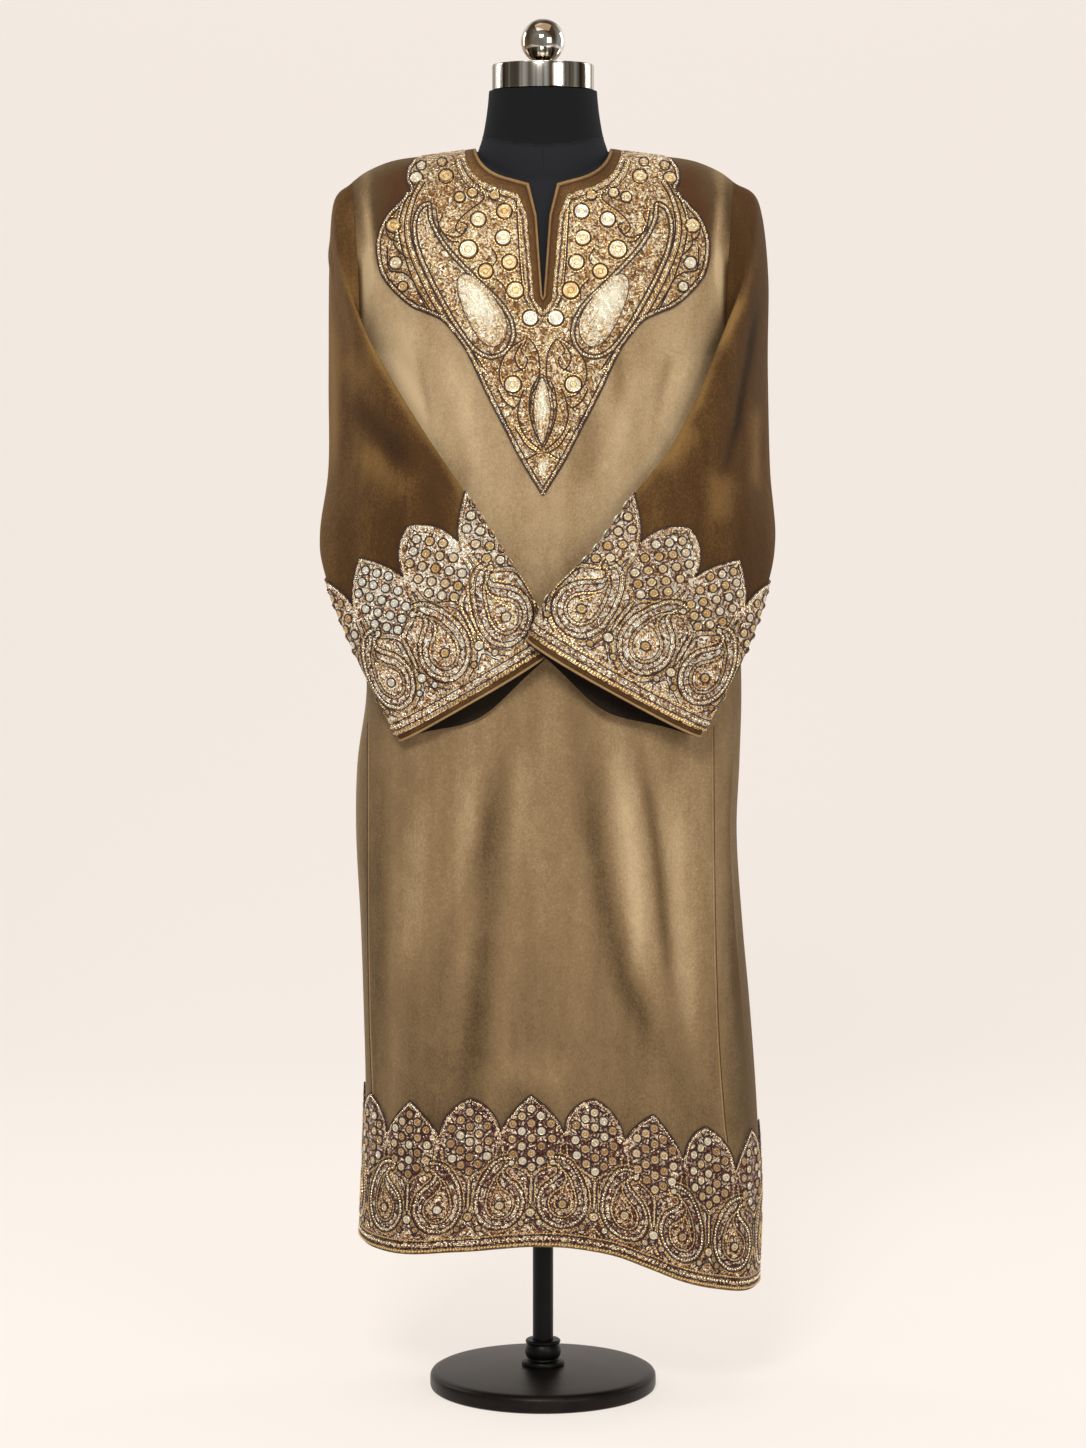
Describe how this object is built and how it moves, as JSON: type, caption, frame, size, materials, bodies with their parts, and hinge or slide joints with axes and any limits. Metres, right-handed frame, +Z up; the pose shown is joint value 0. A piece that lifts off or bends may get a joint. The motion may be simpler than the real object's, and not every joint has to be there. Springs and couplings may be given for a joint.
{
  "type": "pheran on a dress form",
  "caption": "Long-sleeved velvet pheran with gold tilla embroidery at the neck, cuffs and hem, worn by a limbless dress form on a pole with a round base.",
  "frame": {"origin": "centre of the base disc's underside, on the floor", "axes": "+Z up, -Y to the front of the garment, +X to the viewer's right when the front is faced"},
  "size_m": [0.5334, 0.3278, 1.619],
  "materials": {
    "velvet": "khaki velvet pile",
    "sleeve_velvet": "brown velvet pile",
    "neck_band": "brown velvet pile",
    "yoke_tilla": "bright gold metal thread",
    "cuff_tilla": "gold metal thread",
    "hem_tilla": "antique gold metal thread",
    "form_cloth": "matt black jersey",
    "polished_steel": "polished",
    "pole_metal": "black, satin",
    "base_metal": "dark bronze, satin"
  },
  "bodies": {
    "root": {"front_panel": "velvet", "back_panel": "velvet", "neck_band_front": "neck_band", "neck_band_back": "neck_band", "sleeve_left": "sleeve_velvet", "sleeve_right": "sleeve_velvet", "yoke_embroidery": "yoke_tilla", "cuff_embroidery_left": "cuff_tilla", "cuff_embroidery_right": "cuff_tilla", "hem_border_front": "hem_tilla", "hem_border_back": "hem_tilla", "form_torso": "form_cloth", "neck_cap": "polished_steel", "finial_ball": "polished_steel", "pole": "pole_metal", "pole_collar": "pole_metal", "base_disc": "base_metal"}
  },
  "joints": []
}
